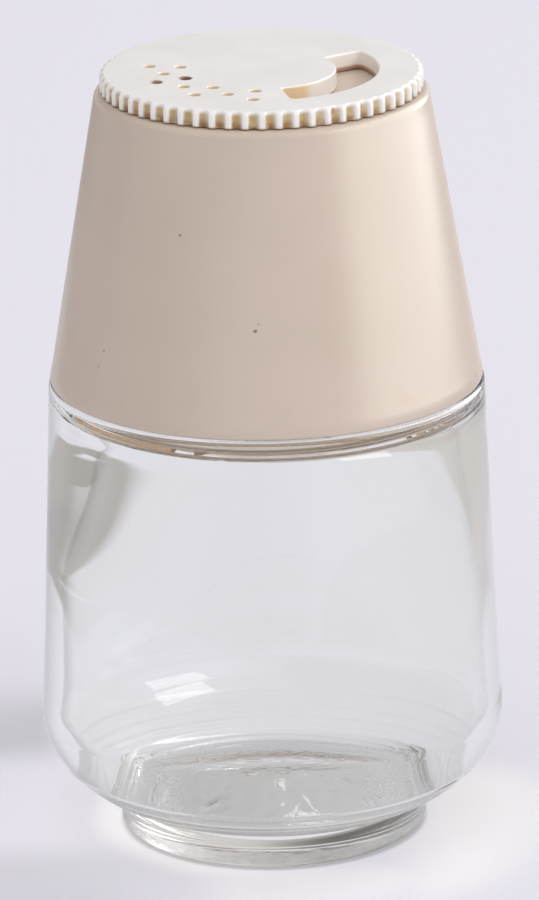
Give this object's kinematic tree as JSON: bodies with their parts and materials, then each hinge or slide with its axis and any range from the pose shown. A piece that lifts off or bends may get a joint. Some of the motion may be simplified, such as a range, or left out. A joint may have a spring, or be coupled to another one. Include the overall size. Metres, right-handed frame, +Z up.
{
  "type": "spice shaker dispenser",
  "caption": "Glass spice shaker with a bulging jar, a screw-on conical plastic cap and a knurled dial on top that turns between shut, pour slot and shake holes.",
  "frame": {"origin": "centre of the foot on the table plane, below the middle of the bounding box", "axes": "+Z up along the shaker's axis through the dial, -Y the front as pictured, +X to the viewer's right"},
  "size_m": [0.0636, 0.0636, 0.1072],
  "materials": {
    "clear_glass": "clear pressed glass, slightly uneven",
    "liner_board": "soft matt sealing ring",
    "tan_plastic": "satin moulded plastic, light tan, a little stained at the edges",
    "ivory_plastic": "glossy ivory moulded plastic with brown residue in the flutes and openings"
  },
  "bodies": {
    "jar": {"glass_jar": "clear_glass"},
    "lift": {"sealing_liner": "liner_board"},
    "cap": {"cap_shell": "tan_plastic"},
    "dial": {"dial": "ivory_plastic"}
  },
  "joints": [
    {"name": "cap_lift", "type": "slide", "parent": "jar", "child": "lift", "axis": [0, 0, 1], "range_m": [0, 0.0127]},
    {"name": "cap_unscrew", "type": "hinge", "parent": "lift", "child": "cap", "pos_m": [0, 0, 0.07], "axis": [0, 0, 1], "range_deg": [0, 900]},
    {"name": "dial_turn", "type": "hinge", "parent": "cap", "child": "dial", "pos_m": [0, 0, 0.1048], "axis": [0, 0, 1], "continuous": true}
  ],
  "couplings": [
    {"joint": "cap_lift", "follows": "cap_unscrew", "m_per_rad": 0.0008085}
  ]
}
